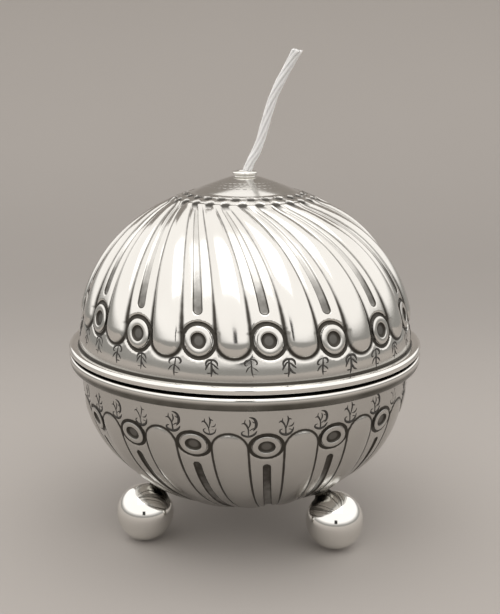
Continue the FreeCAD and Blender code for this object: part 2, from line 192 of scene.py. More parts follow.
def new_shape(name, sizes):
    """Geometry Nodes tree with one named input for each size, and the links of its inputs."""
    tree = bpy.data.node_groups.new(name, "GeometryNodeTree")
    tree.interface.new_socket("Geometry", in_out="OUTPUT", socket_type="NodeSocketGeometry")
    tree.interface.new_socket("Geometry", in_out="INPUT", socket_type="NodeSocketGeometry")
    kinds = {int: "NodeSocketInt", float: "NodeSocketFloat"}
    for size, value in sizes.items():
        tree.interface.new_socket(size, in_out="INPUT", socket_type=kinds[type(value)])
    entry = tree.nodes.new("NodeGroupInput")
    return {socket.name: Link(tree, socket) for socket in entry.outputs if socket.name}


def close_shape(geometry, material):
    """Ends a tree: real geometry in millimetres becomes metres and takes its material."""
    geometry = geometry.node("GeometryNodeRealizeInstances", {}, {"Geometry": geometry})
    geometry = geometry.node("GeometryNodeTransform", {}, {"Geometry": geometry,
                                                           "Scale": (MM, MM, MM)})
    geometry = geometry.node("GeometryNodeSetMaterial", {}, {"Geometry": geometry,
                                                             "Material": material})
    geometry.into(geometry.tree.nodes.new("NodeGroupOutput").inputs["Geometry"])
    return geometry.tree


def show(name, mesh):
    """Puts a mesh or curve into the scene as an object at the origin."""
    piece = bpy.data.objects.new(name, mesh)
    bpy.context.scene.collection.objects.link(piece)
    return piece


def grow(name, tree, sizes, source):
    """Piece with the plain mesh that a tree makes from its source and sizes."""
    seedling = show(name + "_source", source)
    modifier = seedling.modifiers.new("shape", "NODES")
    modifier.node_group = tree
    for item in tree.interface.items_tree:
        if item.in_out == "INPUT" and item.name in sizes:
            modifier[item.identifier] = sizes[item.name]
    seen = bpy.context.evaluated_depsgraph_get()
    mesh = bpy.data.meshes.new_from_object(seedling.evaluated_get(seen))
    bpy.data.objects.remove(seedling)
    mesh.shade_smooth()
    return show(name, mesh)


def route_line(points):
    """Points along the smooth line of a route, in metres."""
    curve = bpy.data.curves.new("route", "CURVE")
    curve.dimensions = "3D"
    curve.resolution_u = 12
    spline = curve.splines.new("NURBS")
    spline.points.add(len(points) - 1)
    for point, place in zip(spline.points, points):
        point.co = (*[value * MM for value in place], 1)
    spline.order_u = 3
    spline.use_endpoint_u = True
    line = show("route", curve)
    mesh = bpy.data.meshes.new_from_object(line)
    bpy.data.objects.remove(line)
    return [vertex.co.copy() for vertex in mesh.vertices]


def line_mesh(places):
    """Open line of edges through places given in millimetres."""
    mesh = bpy.data.meshes.new("line")
    mesh.from_pydata(places, [(i, i + 1) for i in range(len(places) - 1)], [])
    return mesh


cotton, cotton_shader, place = new_finish("cotton_twine", Roughness=0.92, Sheen_Weight=0.35,
                                          Subsurface_Weight=0.7, Subsurface_Radius=(1, 1, 1),
                                          Subsurface_Scale=0.0015)
fibre = (stored(place, "fibre") * 9 + noise(place, 900.0) * 2).maths("SINE") * 0.5 + 0.5
stain = noise(place, 220.0).step(0.4, 0.8)
stain.blend((0.98, 0.975, 0.96), (0.93, 0.915, 0.88)).into(cotton_shader.inputs["Base Color"])
place.node("ShaderNodeBump", {}, {"Strength": 0.25, "Distance": 0.0001, "Height": fibre}).into(
    cotton_shader.inputs["Normal"])

twine_sizes = {"Plies": 6, "Ply Radius": 0.56, "Ply Offset": 0.68, "Turn": 38.0, "Sides": 9,
               "Flare": 0.22, "Cut": 0.0, "Fuzz": 2.2, "Fibre Length": 0.9,
               "Fibre Radius": 0.013, "Seed": 4}
size = new_shape("twisted_twine", twine_sizes)
line = size["Geometry"].node("GeometryNodeMeshToCurve", {}, {"Mesh": size["Geometry"]})
run = line.node("GeometryNodeSplineParameter", output=1)
line = line.node("GeometryNodeSetCurveTilt", {}, {"Curve": line,
                                                  "Tilt": run / size["Turn"] * math.tau})
ply = line.node("GeometryNodeCurvePrimitiveCircle", {}, {"Resolution": size["Sides"],
                                                        "Radius": size["Ply Radius"]})
seats = line.node("GeometryNodeMeshCircle", {}, {"Vertices": size["Plies"],
                                                 "Radius": size["Ply Offset"]})
plies = line.node("GeometryNodeInstanceOnPoints", {}, {"Points": seats, "Instance": ply})
plies = line.node("GeometryNodeRealizeInstances", {}, {"Geometry": plies})
count = line.node("GeometryNodeInputIndex")
plies = line.node("GeometryNodeStoreNamedAttribute", {},
                  {"Geometry": plies, "Name": "fibre", "Value": count * (math.tau / 9)})
left = line.node("GeometryNodeSplineLength") - run
flare = 1 + (1 - left.step(0.0, 2.4)) * size["Flare"]
line = line.node("GeometryNodeStoreNamedAttribute", {}, {
    "Geometry": line, "Name": "cut_end", "Value": (1 - left.step(0.0, 1.6)) * size["Cut"]})
twisted = line.node("GeometryNodeCurveToMesh", {}, {"Curve": line, "Profile Curve": plies,
                                                    "Fill Caps": True, "Scale": flare})
spot = line.node("GeometryNodeInputPosition")
aside = spot.parts()[0] - END_POINTS[-1][0]
cut = line.node("GeometryNodeInputNamedAttribute", {}, {"Name": "cut_end"}) * (
    aside * 0.42 + (noise(spot, 1.1) - 0.5) * 2.0)
twisted = line.node("GeometryNodeSetPosition", {}, {
    "Geometry": twisted,
    "Offset": line.node("ShaderNodeCombineXYZ", {}, {0: cut * 0.45, 1: 0.0, 2: cut * 0.9})})
spots = line.node("GeometryNodeDistributePointsOnFaces", {},
                  {"Mesh": twisted, "Density": size["Fuzz"], "Seed": size["Seed"]})
hair = line.node("GeometryNodeMeshCone", {}, {"Vertices": 3, "Radius Top": 0.0,
                                              "Radius Bottom": size["Fibre Radius"],
                                              "Depth": size["Fibre Length"]})
lean = line.node("FunctionNodeRandomValue", {"data_type": "FLOAT_VECTOR"},
                 {0: (0.0, 0.0, 0.0), 1: (math.tau, math.tau, math.tau), "Seed": size["Seed"]})
hairs = line.node("GeometryNodeInstanceOnPoints", {}, {"Points": spots, "Instance": hair,
                                                       "Rotation": lean})
twisted = line.node("GeometryNodeJoinGeometry", {}, {0: [twisted, hairs]})
twine_tree = close_shape(twisted, cotton)


def twine_piece(node, points, far_end):
    """One run of the twine, with its length in millimetres."""
    path = route_line(points)
    sizes = {**twine_sizes, "Cut": 1.0 if far_end == "bare" else 0.0}
    piece = grow(node + "_twine", twine_tree, sizes, line_mesh([place / MM for place in path]))
    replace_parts(piece, node)
    return piece


string_end = twine_piece("string_end", END_POINTS, "bare")
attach(string_end, "lid_body")
string_feed = twine_piece("string_feed", FEED_POINTS, "object")
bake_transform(string_feed)


# Ball of twine. The same cotton is wound round itself in crossing layers to a ball 54 mm across,
# which lies loose in the bowl.
BALL_RADIUS = 27.0
BALL_HEIGHT = 36.97
LOOPS = 62
LOOP_STEPS = 44
LOOP_DRIFT = 0.0613

winding = []
for i in range(LOOPS * LOOP_STEPS):
    round_loop = math.tau * i / LOOP_STEPS
    share = i / (LOOPS * LOOP_STEPS)
    tilt = math.radians(62 + 24 * math.sin(share * 17))
    drift = round_loop * LOOP_DRIFT
    layer = BALL_RADIUS - TWINE_DIAMETER / 2 - 0.9 + 0.85 * share
    x, y = math.cos(round_loop), math.sin(round_loop) * math.cos(tilt)
    winding.append((layer * (x * math.cos(drift) - y * math.sin(drift)),
                    layer * math.sin(round_loop) * math.sin(tilt),
                    BALL_HEIGHT + layer * (x * math.sin(drift) + y * math.cos(drift))))
ball_sizes = {**twine_sizes, "Plies": 3, "Ply Radius": 0.8, "Ply Offset": 0.42, "Turn": 16.0,
              "Sides": 5, "Flare": 0.0, "Fuzz": 0.0}
twine_ball = grow("twine_ball_windings", twine_tree, ball_sizes, line_mesh(winding))
core = bmesh.new()
core.from_mesh(twine_ball.data)
heart = bmesh.ops.create_icosphere(core, subdivisions=4, radius=(BALL_RADIUS - 2.2) * MM)
bmesh.ops.translate(core, verts=heart["verts"], vec=(0, 0, BALL_HEIGHT * MM))
core.to_mesh(twine_ball.data)
core.free()
twine_ball.data.shade_smooth()
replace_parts(twine_ball, "twine_ball")
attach(twine_ball, "bowl_body")


# Bowl. Sheet silver raised to a deep round bowl, with wide lobes and flat straps in turn, a ring
# at the head of each strap and a sunk drop below it. The chased lines hold dark oxide.
SHEET = 0.8
SEAT_DEPTH = 0.5
DROP_DEPTH = 0.45
ROUNDEL_RADIUS = 11.0
ROUNDEL_HEIGHT = 0.45

# One set of sizes drives a half, in millimetres. The sheet is an ellipse whose widest ring is at
# Level. Wall goes straight from that ring to the mouth, and Way is the side that the dome is on.
# Along the dome, Start is where lobes and straps begin, Ring Set leads on to the middle of a ring
# and Drop After from there to the head of a drop. The last sizes count the columns of the mesh for
# each lobe, and its rows.
BOWL = {"Radius": 45.1, "Height": 37.5, "Level": 46.266, "Way": -1.0, "Wall": 6.5, "Hole": 0.0,
        "Border": 12.0, "End": math.pi / 2, "Lobes": 16, "First": math.radians(6.5),
        "Swirl": math.radians(9.5), "Relief": 0.58, "Start": 3.3, "Ring Set": 3.6,
        "Ring Width": 3.55, "Ring Height": 2.95, "Hollow Width": 2.05, "Hollow Height": 1.6,
        "Outline": 0.8, "Drop After": 5.4, "Drop Width": 1.0, "Drop Taper": -0.15,
        "Drop Tone": 0.84, "Groove": 0.2, "Groove Width": 0.34, "Line": -3.3, "Tarnish": 0.38,
        "Bulge": 0.0, "Fade From": 24.0, "Fade To": 44.0, "Fade": 0.3, "Drop Fade": 0.3,
        "Sway": 0.018, "Slant": 0.35, "Waviness": 0.06,
        "Columns": 40, "Rows": 96, "Fine Rows": 57, "Fine Step": 0.36, "Border Rows": 16,
        "Lining Rows": 18}

silver, silver_shader, place = new_finish("raised_silver", Metallic=1.0, Specular_Tint=(1, 1, 1, 1))
chased = stored(place, "edge").bell(1.0) * stored(place, "weak")
chased = chased.most((1 - stored(place, "outline").step(0.0, 0.14)) * stored(place, "fade"))
sunk = stored(place, "drop")
sunk = sunk.step(-0.07, 0.05) + (sunk - 0.1).bell(0.16) * 0.35
chased = chased.most(sunk * stored(place, "worn")) * (noise(place, 450.0) * 0.5 + 0.8)

# Rings of small crescents, punched into the crown of the lid alone, which is higher than 92 mm.
# Their dark arcs are painted shade in the punches.
CRESCENTS = 36
CRESCENT_RADIUS = 0.34
x, y, z = place.parts()
reach = (x * x + y * y) ** 0.5 / MM
crescents = reach * 0
for radius, shift in ((10.6, 0.0), (9.2, 0.5), (7.8, 0.0)):
    station = x.maths("ARCTAN2", y) * (CRESCENTS / math.tau) + shift
    across = (station - station.maths("ROUND")) * (math.tau / CRESCENTS) * radius
    down = reach - radius + CRESCENT_RADIUS
    arc = ((across * across + down * down) ** 0.5 - CRESCENT_RADIUS).bell(0.11)
    crescents = crescents.most(arc * down.step(0.0, 0.2))
crescents = crescents * z.step(0.090, 0.092)
# The stored darkness is oxide in the chased hollows together with painted shade: next to the rim
# wires and along one side of the ring hollows.
oxide = stored(place, "oxide").most(chased).most(crescents * 0.55).least(1.0)
tone = noise(place, 70.0).blend((0.765, 0.755, 0.725), (0.68, 0.665, 0.63))
patina_and_shade = oxide.step(0.1, 0.95)
patina_and_shade.blend(tone, (0.065, 0.06, 0.052)).into(silver_shader.inputs["Base Color"])
(noise(place, 240.0, 5.0) * 0.08 + 0.1 + patina_and_shade * 0.3).into(silver_shader.inputs["Roughness"])
grain = noise(place, 1500.0, 4.0) - crescents * 40
place.node("ShaderNodeBump", {}, {"Strength": 0.12, "Distance": 0.00005, "Height": grain}).into(
    silver_shader.inputs["Normal"])


def raised_point(size, turn, azimuth, offset):
    """Place on a half: the angle round its ellipse, the azimuth, and the height off the sheet."""
    above = turn.most(0.0)
    across, along = above.maths("COSINE"), above.maths("SINE")
    out, up = across / size["Radius"], along / size["Height"]
    square = (out * out + up * up) ** 0.5
    r = size["Radius"] * across + offset * out / square
    rise = size["Height"] * (along + turn.least(0.0)) + offset * up / square
    z = size["Level"] + size["Way"] * rise
    ring = ((size["Start"] + size["Ring Set"]) / size["Height"]).maths("COSINE")
    lean = 1 / across.most(0.22) - 1 / ring
    angle = azimuth - size["Way"] * size["Swirl"] * lean
    return turn.node("ShaderNodeCombineXYZ", {}, {0: r * angle.maths("SINE"),
                                                  1: r * angle.maths("COSINE") * -1, 2: z})


def oval(x, y, wide, tall):
    """Distance inwards from the edge of an oval, nearly true close to the edge."""
    away = ((x / wide) * (x / wide) + (y / tall) * (y / tall)) ** 0.5
    return (1 - away) * tall


def hand_shift(size, azimuth):
    """How far the chasing strays round the box, in radians, and up it, in millimetres."""
    wave = azimuth.maths("SINE")
    ripple = (azimuth * 5 + 1).maths("SINE")
    return wave * size["Sway"] + ripple * 0.004, wave * size["Slant"] * -2 + ripple * size["Slant"]


def rim_bulge(size, length):
    """Height by which the sheet swells where it comes near its rim."""
    return (1 - length.step(1.2, 6.6)) * size["Bulge"]


def chased_relief(size, turn, part, shift):
    """Relief of the flutes, and the distances and strengths of their oxide and of the painted shade
    next to the rim; part runs from -0.5 to 0.5 between the middles of lobes. Hand work leaves it a
    little high or low, by the shift."""
    scale = turn.most(0.0).maths("COSINE")
    above = turn.most(0.0)
    bend = (size["Radius"] - size["Height"]) * (above / 2 - (above * 2).maths("SINE") / 4)
    length = size["Height"] * turn + bend
    # Painted shade: from Line onwards the sheet is darkened next to its rim wire, standing in for
    # the wire's shadow and dark reflection.
    painted_rim_shade = length - size["Line"]
    painted_rim_shade = (1 - painted_rim_shade.step(0.0, 0.6)).most((1 - painted_rim_shade.step(0.2, 2.6)) * 0.5)
    bulge = rim_bulge(size, length)
    length = length - shift
    half = size["Radius"] * (math.pi / 2) / size["Lobes"]
    side = (0.5 - part.maths("ABSOLUTE")) * 4
    past = (1 - (length - size["Start"]) / half).most(0.0)
    inside = 1 - (side * side + past * past) ** 0.5
    share = inside.most(0.0)
    lobe = size["Relief"] * scale * (share * (2 - share)) ** 0.85
    edge = inside * half * scale
    width = size["Groove Width"] * (scale * 0.7 + 0.3)

    x = part * 4 * half * scale
    y = length - size["Start"] - size["Ring Set"]
    ring = oval(x, y, size["Ring Width"], size["Ring Height"])
    seat = ring.step(0.1, 0.5) * -SEAT_DEPTH
    around = ring * -1 - size["Outline"] / 2
    away = around.maths("ABSOLUTE") - size["Outline"] * 0.42
    outline = 1 - away.step(0.0, 0.2)

    wide = (1 - (1 - scale) * size["Drop Taper"]) * size["Drop Width"]
    behind = (y - size["Drop After"] - wide).least(0.0)
    drop = wide - (x * x + behind * behind) ** 0.5
    trough = drop.step(-0.05, 0.3) * scale.step(0.15, 0.5)
    fade = (scale * size["Radius"]).step(size["Border"], size["Border"] + 0.6)
    weak = 1 - length.step(size["Fade From"], size["Fade To"]) * size["Fade"]
    worn = 1 - (y - size["Drop After"]).step(1.0, 15.0) * size["Drop Fade"]

    relief = (lobe - edge.bell(width) * size["Groove"] * (scale * 0.6 + 0.4) + seat
              - outline * size["Groove"] * 1.2 - trough * DROP_DEPTH) * fade + bulge
    marks = {"oxide": painted_rim_shade.most(size["Tarnish"]), "edge": edge / (width * (weak * 1.2 + 0.05)),
             "outline": away, "drop": drop, "fade": fade, "weak": weak * fade,
             "worn": worn * fade * size["Drop Tone"]}
    return relief, marks


def ring_tool():
    """Round plate of radius 2 with a sunk middle of radius 1, which every ring is fitted from."""
    shape = bmesh.new()
    outline = [(0.0, -0.3), (0.5, -0.32), (0.88, -0.3), (0.97, -0.22), (1.02, 0.02), (1.08, 0.14),
               (1.25, 0.2), (1.6, 0.21), (1.85, 0.16), (1.96, 0.05), (2.0, -0.15), (2.0, -0.55),
               (0.0, -0.55)]
    corners = [shape.verts.new((r, 0, z)) for r, z in outline]
    edges = [shape.edges.new(pair) for pair in zip(corners, corners[1:])]
    bmesh.ops.spin(shape, geom=corners + edges, cent=(0, 0, 0), axis=(0, 0, 1), angle=math.tau,
                   steps=44, use_merge=True)
    bmesh.ops.remove_doubles(shape, verts=shape.verts, dist=0.0001)
    bmesh.ops.recalc_face_normals(shape, faces=shape.faces)
    mesh = bpy.data.meshes.new("ring_tool")
    shape.to_mesh(mesh)
    shape.free()
    return mesh


def ring_plates(size):
    """A flat ring with a sunk middle at the head of each strap, fitted from the ring tool."""
    stations = size["Lobes"].node("GeometryNodeMeshLine", {}, {"Count": size["Lobes"],
                                                               "Offset": (0.0, 0.0, 0.0)})
    plates = stations.node("GeometryNodeInstanceOnPoints", {}, {"Points": stations,
                                                                "Instance": size["Geometry"]})
    plates = stations.node("GeometryNodeStoreNamedAttribute", {"domain": "INSTANCE"}, {
        "Geometry": plates, "Name": "strap", "Value": stations.node("GeometryNodeInputIndex")})
    plates = stations.node("GeometryNodeRealizeInstances", {}, {"Geometry": plates})
    strap = stations.node("GeometryNodeInputNamedAttribute", {}, {"Name": "strap"})
    x, y, z = stations.node("GeometryNodeInputPosition").parts()
    reach = (x * x + y * y) ** 0.5
    share = (reach - 1).most(0.0)
    wide = (reach.least(1.0) * size["Hollow Width"]
            + share * (size["Ring Width"] - size["Hollow Width"])) / reach.most(0.001)
    tall = (reach.least(1.0) * size["Hollow Height"]
            + share * (size["Ring Height"] - size["Hollow Height"])) / reach.most(0.001)
    azimuth = size["First"] + strap * math.tau / size["Lobes"]
    sway, shift = hand_shift(size, azimuth)
    turn = (size["Start"] + size["Ring Set"] + shift + y * tall) / size["Height"]
    azimuth = azimuth + sway + x * wide / (size["Radius"] * turn.maths("COSINE"))
    # The sunk middle is dark with oxide. A painted shadow darkens it further along its wall, more
    # on one side.
    shadow = (reach - 0.95 - y * size["Way"] * 0.12).bell(0.18) * 0.4
    dark = ((1.1 - reach).step(0.0, 0.05) * (shadow + 0.74)).least(1.0)
    dark = dark.most((reach - 1.9).step(0.0, 0.09)).most(size["Tarnish"])
    plates = stations.node("GeometryNodeStoreNamedAttribute", {}, {
        "Geometry": plates, "Name": "oxide", "Value": dark})
    return stations.node("GeometryNodeSetPosition", {}, {
        "Geometry": plates, "Position": raised_point(size, turn, azimuth, z)})


def raised_half(name, sizes, finish, border):
    """Tree of one half: its outer sheet, lining, edges and rings, closed, with the oxide and
    painted shade stored.
    """
    size = new_shape(name, sizes)
    start = size["Wall"] / size["Height"] * -1
    change = (size["Border"] / size["Radius"]).maths("ARCCOSINE")

    def face(rows, turn_of, lining):
        """Grid whose rows follow the meridian and whose columns go round, closer at the grooves."""
        grid = rows.node("GeometryNodeMeshGrid", {}, {
            "Size X": 1.0, "Size Y": 1.0, "Vertices X": size["Columns"] * size["Lobes"] + 1,
            "Vertices Y": rows + 1})
        across, along, _ = rows.node("GeometryNodeInputPosition").parts()
        cell = (across + 0.5) * size["Lobes"]
        row = (along + 0.5) * rows
        cell = (cell - (cell * math.tau).maths("SINE") * (0.72 / math.tau)
                + (cell * (2 * math.tau)).maths("SINE") * (0.36 / (2 * math.tau)))
        turn = turn_of(row)
        azimuth = size["First"] + cell * math.tau / size["Lobes"]
        sway, shift = hand_shift(size, azimuth)
        relief, marks = chased_relief(size, turn, cell - cell.maths("ROUND"), shift)
        azimuth = azimuth + sway
        rise, hollow = border(size, turn.most(0.0).maths("COSINE") * size["Radius"], azimuth)
        offset = relief + rise
        if lining:
            end = 1 - size["Hole"] * (1 - (rows - row).least(1.0))
            offset = offset - row.least(1.0) * end * SHEET
        plain = raised_point(size, turn, azimuth, turn * 0)
        waves = (noise(plain, 0.09, 1.5) - 0.5) * size["Waviness"] * 2
        marks = {"oxide": turn * 0} if lining else {**marks, "oxide": marks["oxide"].most(hollow)}
        for mark, value in marks.items():
            grid = rows.node("GeometryNodeStoreNamedAttribute", {}, {
                "Geometry": grid, "Name": mark, "Value": value})
        return rows.node("GeometryNodeSetPosition", {}, {
            "Geometry": grid, "Position": raised_point(size, turn, azimuth, offset + waves)})

    rows, fine, step = size["Rows"], size["Fine Rows"], size["Fine Step"]
    growth = ((change - start) * size["Height"] - step * rows) * 2 / ((rows - fine) ** 2)

    def outer_turn(row):
        return start + (row * step + (row - fine).most(0.0) ** 2 * growth / 2) / size["Height"]

    def middle_turn(row):
        return change + (size["End"] - change) * (row / size["Border Rows"]) ** 1.5

    def lining_turn(row):
        share = (row - 1).most(0.0) / (size["Lining Rows"] - 1 - size["Hole"])
        return start + (size["End"] - start) * share.least(1.0)

    outer = face(rows, outer_turn, False)
    middle = face(size["Border Rows"], middle_turn, False)
    lining = face(size["Lining Rows"], lining_turn, True)
    whole = rows.node("GeometryNodeJoinGeometry", {}, {0: [outer, middle, lining]})
    whole = rows.node("GeometryNodeMergeByDistance", {}, {"Geometry": whole, "Distance": 0.004})
    whole = rows.node("GeometryNodeJoinGeometry", {}, {0: [whole, ring_plates(size)]})
    return close_shape(whole, finish)


def outward(piece):
    """Turns every face of a closed mesh outwards and shades it smooth."""
    shape = bmesh.new()
    shape.from_mesh(piece.data)
    bmesh.ops.recalc_face_normals(shape, faces=shape.faces)
    shape.to_mesh(piece.data)
    shape.free()
    piece.data.shade_smooth()
    return piece


def roundel(size, reach, azimuth):
    """Plain raised disc in the middle of the underside."""
    disc = 1 - reach.step(ROUNDEL_RADIUS - 0.3, ROUNDEL_RADIUS + 0.3)
    return disc * ROUNDEL_HEIGHT, (reach - ROUNDEL_RADIUS - 0.4).bell(0.3)


bowl = grow("bowl_raised", raised_half("raised_bowl", BOWL, silver, roundel), BOWL, ring_tool())
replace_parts(outward(bowl), "bowl")
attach(bowl, "bowl_body")


# Leaf sprigs on the bowl. One is chased with a tracer and punches between each lobe and strap,
# thirty-two in all, and its fine strokes are black with oxide.
oxidised, oxidised_shader, place = new_finish("chased_oxide")
noise(place, 900.0).blend((0.02, 0.018, 0.016), (0.06, 0.055, 0.048)).into(
    oxidised_shader.inputs["Base Color"])
(noise(place, 400.0) * 0.3 + 0.45).into(oxidised_shader.inputs["Roughness"])

BOWL_SPRIGS = [
    [[(-0.9, -0.85, 0.05), (-1.4, -0.9, 0.12), (-1.6, -1.5, 0.17), (-1.0, -2.1, 0.22),
      (0.0, -2.35, 0.27), (1.0, -1.95, 0.22), (1.55, -1.2, 0.17), (1.65, -0.5, 0.06)],
     [(-0.15, -2.2, 0.14), (-0.1, -0.9, 0.13), (-0.45, 0.2, 0.15), (-1.0, 0.95, 0.17),
      (-1.5, 1.05, 0.14), (-1.75, 0.65, 0.05)],
     [(-0.05, -0.6, 0.08), (0.2, 0.4, 0.14), (0.5, 1.4, 0.19), (0.2, 2.2, 0.07)],
     [(0.4, 1.45, 0.14), (0.8, 1.5, 0.14), (1.15, 1.3, 0.05)],
     [(0.4, -0.3, 0.05), (1.1, -0.3, 0.16), (1.6, 0.2, 0.12), (1.7, 0.6, 0.04)],
     [(0.5, -1.0, 0.05), (1.0, -0.95, 0.13), (1.35, -1.2, 0.05)],
     [(-0.95, 0.9, 0.1), (-1.0, 1.3, 0.12), (-0.9, 1.7, 0.05)]],
    [[(-0.8, -1.0, 0.05), (-1.35, -1.0, 0.14), (-1.6, -1.6, 0.18), (-0.9, -2.1, 0.22),
      (0.1, -2.35, 0.25), (1.1, -2.0, 0.24), (1.75, -1.3, 0.17), (1.85, -0.9, 0.06)],
     [(0.1, -2.2, 0.14), (0.0, -0.9, 0.14), (-0.3, 0.0, 0.15), (-0.9, 0.8, 0.16), (-1.3, 0.9, 0.13),
      (-1.75, 0.75, 0.05)],
     [(-0.2, -0.4, 0.05), (0.15, 0.3, 0.14), (0.2, 1.1, 0.16), (-0.15, 1.7, 0.05)],
     [(-0.25, 2.25, 0.05), (0.5, 2.2, 0.16), (1.25, 1.6, 0.24), (1.6, 0.6, 0.27),
      (1.45, -0.4, 0.22), (0.95, -0.9, 0.06)],
     [(0.55, 1.3, 0.05), (0.95, 0.95, 0.13), (1.4, 1.0, 0.08)],
     [(0.2, -0.9, 0.05), (0.6, -0.45, 0.14), (1.2, -0.3, 0.08)],
     [(-1.05, 0.9, 0.1), (-1.15, 1.3, 0.12), (-1.0, 1.75, 0.05)]]]


def stroke_mesh(drawings):
    """Tapered strokes of a tracer as one flat closed mesh, in millimetres. Each vertex holds the
    number of its drawing."""
    shape = bmesh.new()
    number = shape.verts.layers.float.new("drawing")
    for i, strokes in enumerate(drawings):
        curve = bpy.data.curves.new("strokes", "CURVE")
        curve.dimensions = "3D"
        curve.bevel_depth = 1.0
        curve.bevel_resolution = 0
        curve.resolution_u = 3
        curve.use_fill_caps = True
        for stroke in strokes:
            spline = curve.splines.new("NURBS")
            spline.points.add(len(stroke) - 1)
            for point, (x, y, half) in zip(spline.points, stroke):
                point.co = (x, y, 0, 1)
                point.radius = half * 1.3
            spline.order_u = 3
            spline.use_endpoint_u = True
        drawn = show("strokes", curve)
        known = len(shape.verts)
        shape.from_mesh(bpy.data.meshes.new_from_object(drawn))
        bpy.data.objects.remove(drawn)
        shape.verts.ensure_lookup_table()
        for vertex in shape.verts[known:]:
            vertex[number] = i
    bmesh.ops.remove_doubles(shape, verts=shape.verts, dist=0.0001)
    bmesh.ops.scale(shape, verts=shape.verts, vec=(1, 1, 0.25))
    mesh = bpy.data.meshes.new("strokes")
    shape.to_mesh(mesh)
    shape.free()
    return mesh


def sprig_ring(name, sizes, finish):
    """Tree that lays one sprig between each lobe and strap of a half."""
    size = new_shape(name, sizes)
    stations = size["Lobes"].node("GeometryNodeMeshLine", {}, {"Count": size["Lobes"] * 2,
                                                               "Offset": (0.0, 0.0, 0.0)})
    sprigs = stations.node("GeometryNodeInstanceOnPoints", {}, {"Points": stations,
                                                                "Instance": size["Geometry"]})
    number = stations.node("GeometryNodeInputIndex")
    sprigs = stations.node("GeometryNodeStoreNamedAttribute", {"domain": "INSTANCE"}, {
        "Geometry": sprigs, "Name": "station", "Value": number})
    sprigs = stations.node("GeometryNodeRealizeInstances", {}, {"Geometry": sprigs})
    station = stations.node("GeometryNodeInputNamedAttribute", {}, {"Name": "station"})
    drawing = stations.node("GeometryNodeInputNamedAttribute", {}, {"Name": "drawing"})
    other = (station.maths("MODULO", 2.0) - drawing).maths("ABSOLUTE").maths("GREATER_THAN", 0.5)
    sprigs = stations.node("GeometryNodeDeleteGeometry", {}, {"Geometry": sprigs,
                                                              "Selection": other})
    lean = stations.node("FunctionNodeRandomValue", {}, {
        2: -1.0, 3: 1.0, "ID": station, "Seed": 5}, output=1)
    grow_by = stations.node("FunctionNodeRandomValue", {}, {
        2: 1.0, 3: 1.16, "ID": station, "Seed": 9}, output=1)
    x, y, z = stations.node("GeometryNodeInputPosition").parts()
    x, y = x * grow_by, y * grow_by
    x = x + y * lean * 0.12 + lean * 0.1
    azimuth = size["First"] + (station + 0.5) * math.pi / size["Lobes"]
    sway, shift = hand_shift(size, azimuth)
    turn = (size["Mark"] + shift + y * size["Way"]) / size["Height"]
    azimuth = azimuth + sway * size["Mark Sway"] + size["Mark Aside"] + x / size["Radius"]
    z = z + rim_bulge(size, turn * size["Height"])
    laid = stations.node("GeometryNodeSetPosition", {}, {
        "Geometry": sprigs, "Position": raised_point(size, turn, azimuth, z)})
    return close_shape(laid, finish)


BOWL_MARKS = {**{name: BOWL[name] for name in ("Radius", "Height", "Level", "Way", "Lobes", "First",
                                               "Swirl", "Start", "Ring Set", "Sway", "Slant",
                                               "Bulge")},
              "Mark": 1.35, "Mark Sway": 2.0, "Mark Aside": 0.0}
bowl_sprigs = grow("bowl_sprigs", sprig_ring("bowl_sprigs", BOWL_MARKS, oxidised), BOWL_MARKS,
                   stroke_mesh(BOWL_SPRIGS))
outward(bowl_sprigs)
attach(bowl_sprigs, "bowl_body")


# Feet. Three balls of polished silver carry the bowl. Each has a short neck that is soldered square
# to the bowl, and the colour round the joint is darker.
polished, polished_shader, place = new_finish("polished_silver", Metallic=1.0)
NECK_REACH = 0.0259
NECK_LEVEL = 0.0155
x, y, z = place.parts()
outwards, upwards = (x * x + y * y) ** 0.5 - NECK_REACH, z - NECK_LEVEL
joint = 1 - ((outwards * outwards + upwards * upwards) ** 0.5).step(0.0026, 0.0036)
ball_tone = noise(place, 110.0).blend((0.88, 0.87, 0.84), (0.80, 0.79, 0.755))
joint.blend(ball_tone, (0.07, 0.065, 0.055)).into(polished_shader.inputs["Base Color"])
(noise(place, 300.0, 5.0) * 0.08 + 0.05).into(polished_shader.inputs["Roughness"])
place.node("ShaderNodeBump", {}, {"Strength": 0.08, "Distance": 0.00005,
                                  "Height": noise(place, 1200.0, 4.0)}).into(
    polished_shader.inputs["Normal"])
FOOT_RADIUS = 7.9
FOOT_NECK = 0.95
FOOT_TURN = math.radians(55)
NECK_RADIUS = 2.2


def turned_piece(name, outline, finish, segments=128):
    """Round piece turned about the upright axis from a closed outline in millimetres."""
    shape = bmesh.new()
    corners = [shape.verts.new((r * MM, 0, z * MM)) for r, z in outline]
    edges = [shape.edges.new(pair) for pair in zip(corners, corners[1:])]
    if outline[0][0] > 0:
        edges.append(shape.edges.new((corners[-1], corners[0])))
    bmesh.ops.spin(shape, geom=corners + edges, cent=(0, 0, 0), axis=(0, 0, 1), angle=math.tau,
                   steps=segments, use_merge=True)
    bmesh.ops.remove_doubles(shape, verts=shape.verts, dist=0.000002)
    bmesh.ops.recalc_face_normals(shape, faces=shape.faces)
    mesh = bpy.data.meshes.new(name)
    shape.to_mesh(mesh)
    shape.free()
    mesh.materials.append(finish)
    mesh.shade_smooth()
    mesh.set_sharp_from_angle(angle=math.radians(50))
    return show(name, mesh)


def bow(centre, radius, first, last, steps):
    """Points of an arc in the outline's plane, by angles in degrees."""
    angles = [math.radians(first + (last - first) * i / steps) for i in range(steps + 1)]
    return [(centre[0] + radius * math.cos(a), centre[1] + radius * math.sin(a)) for a in angles]


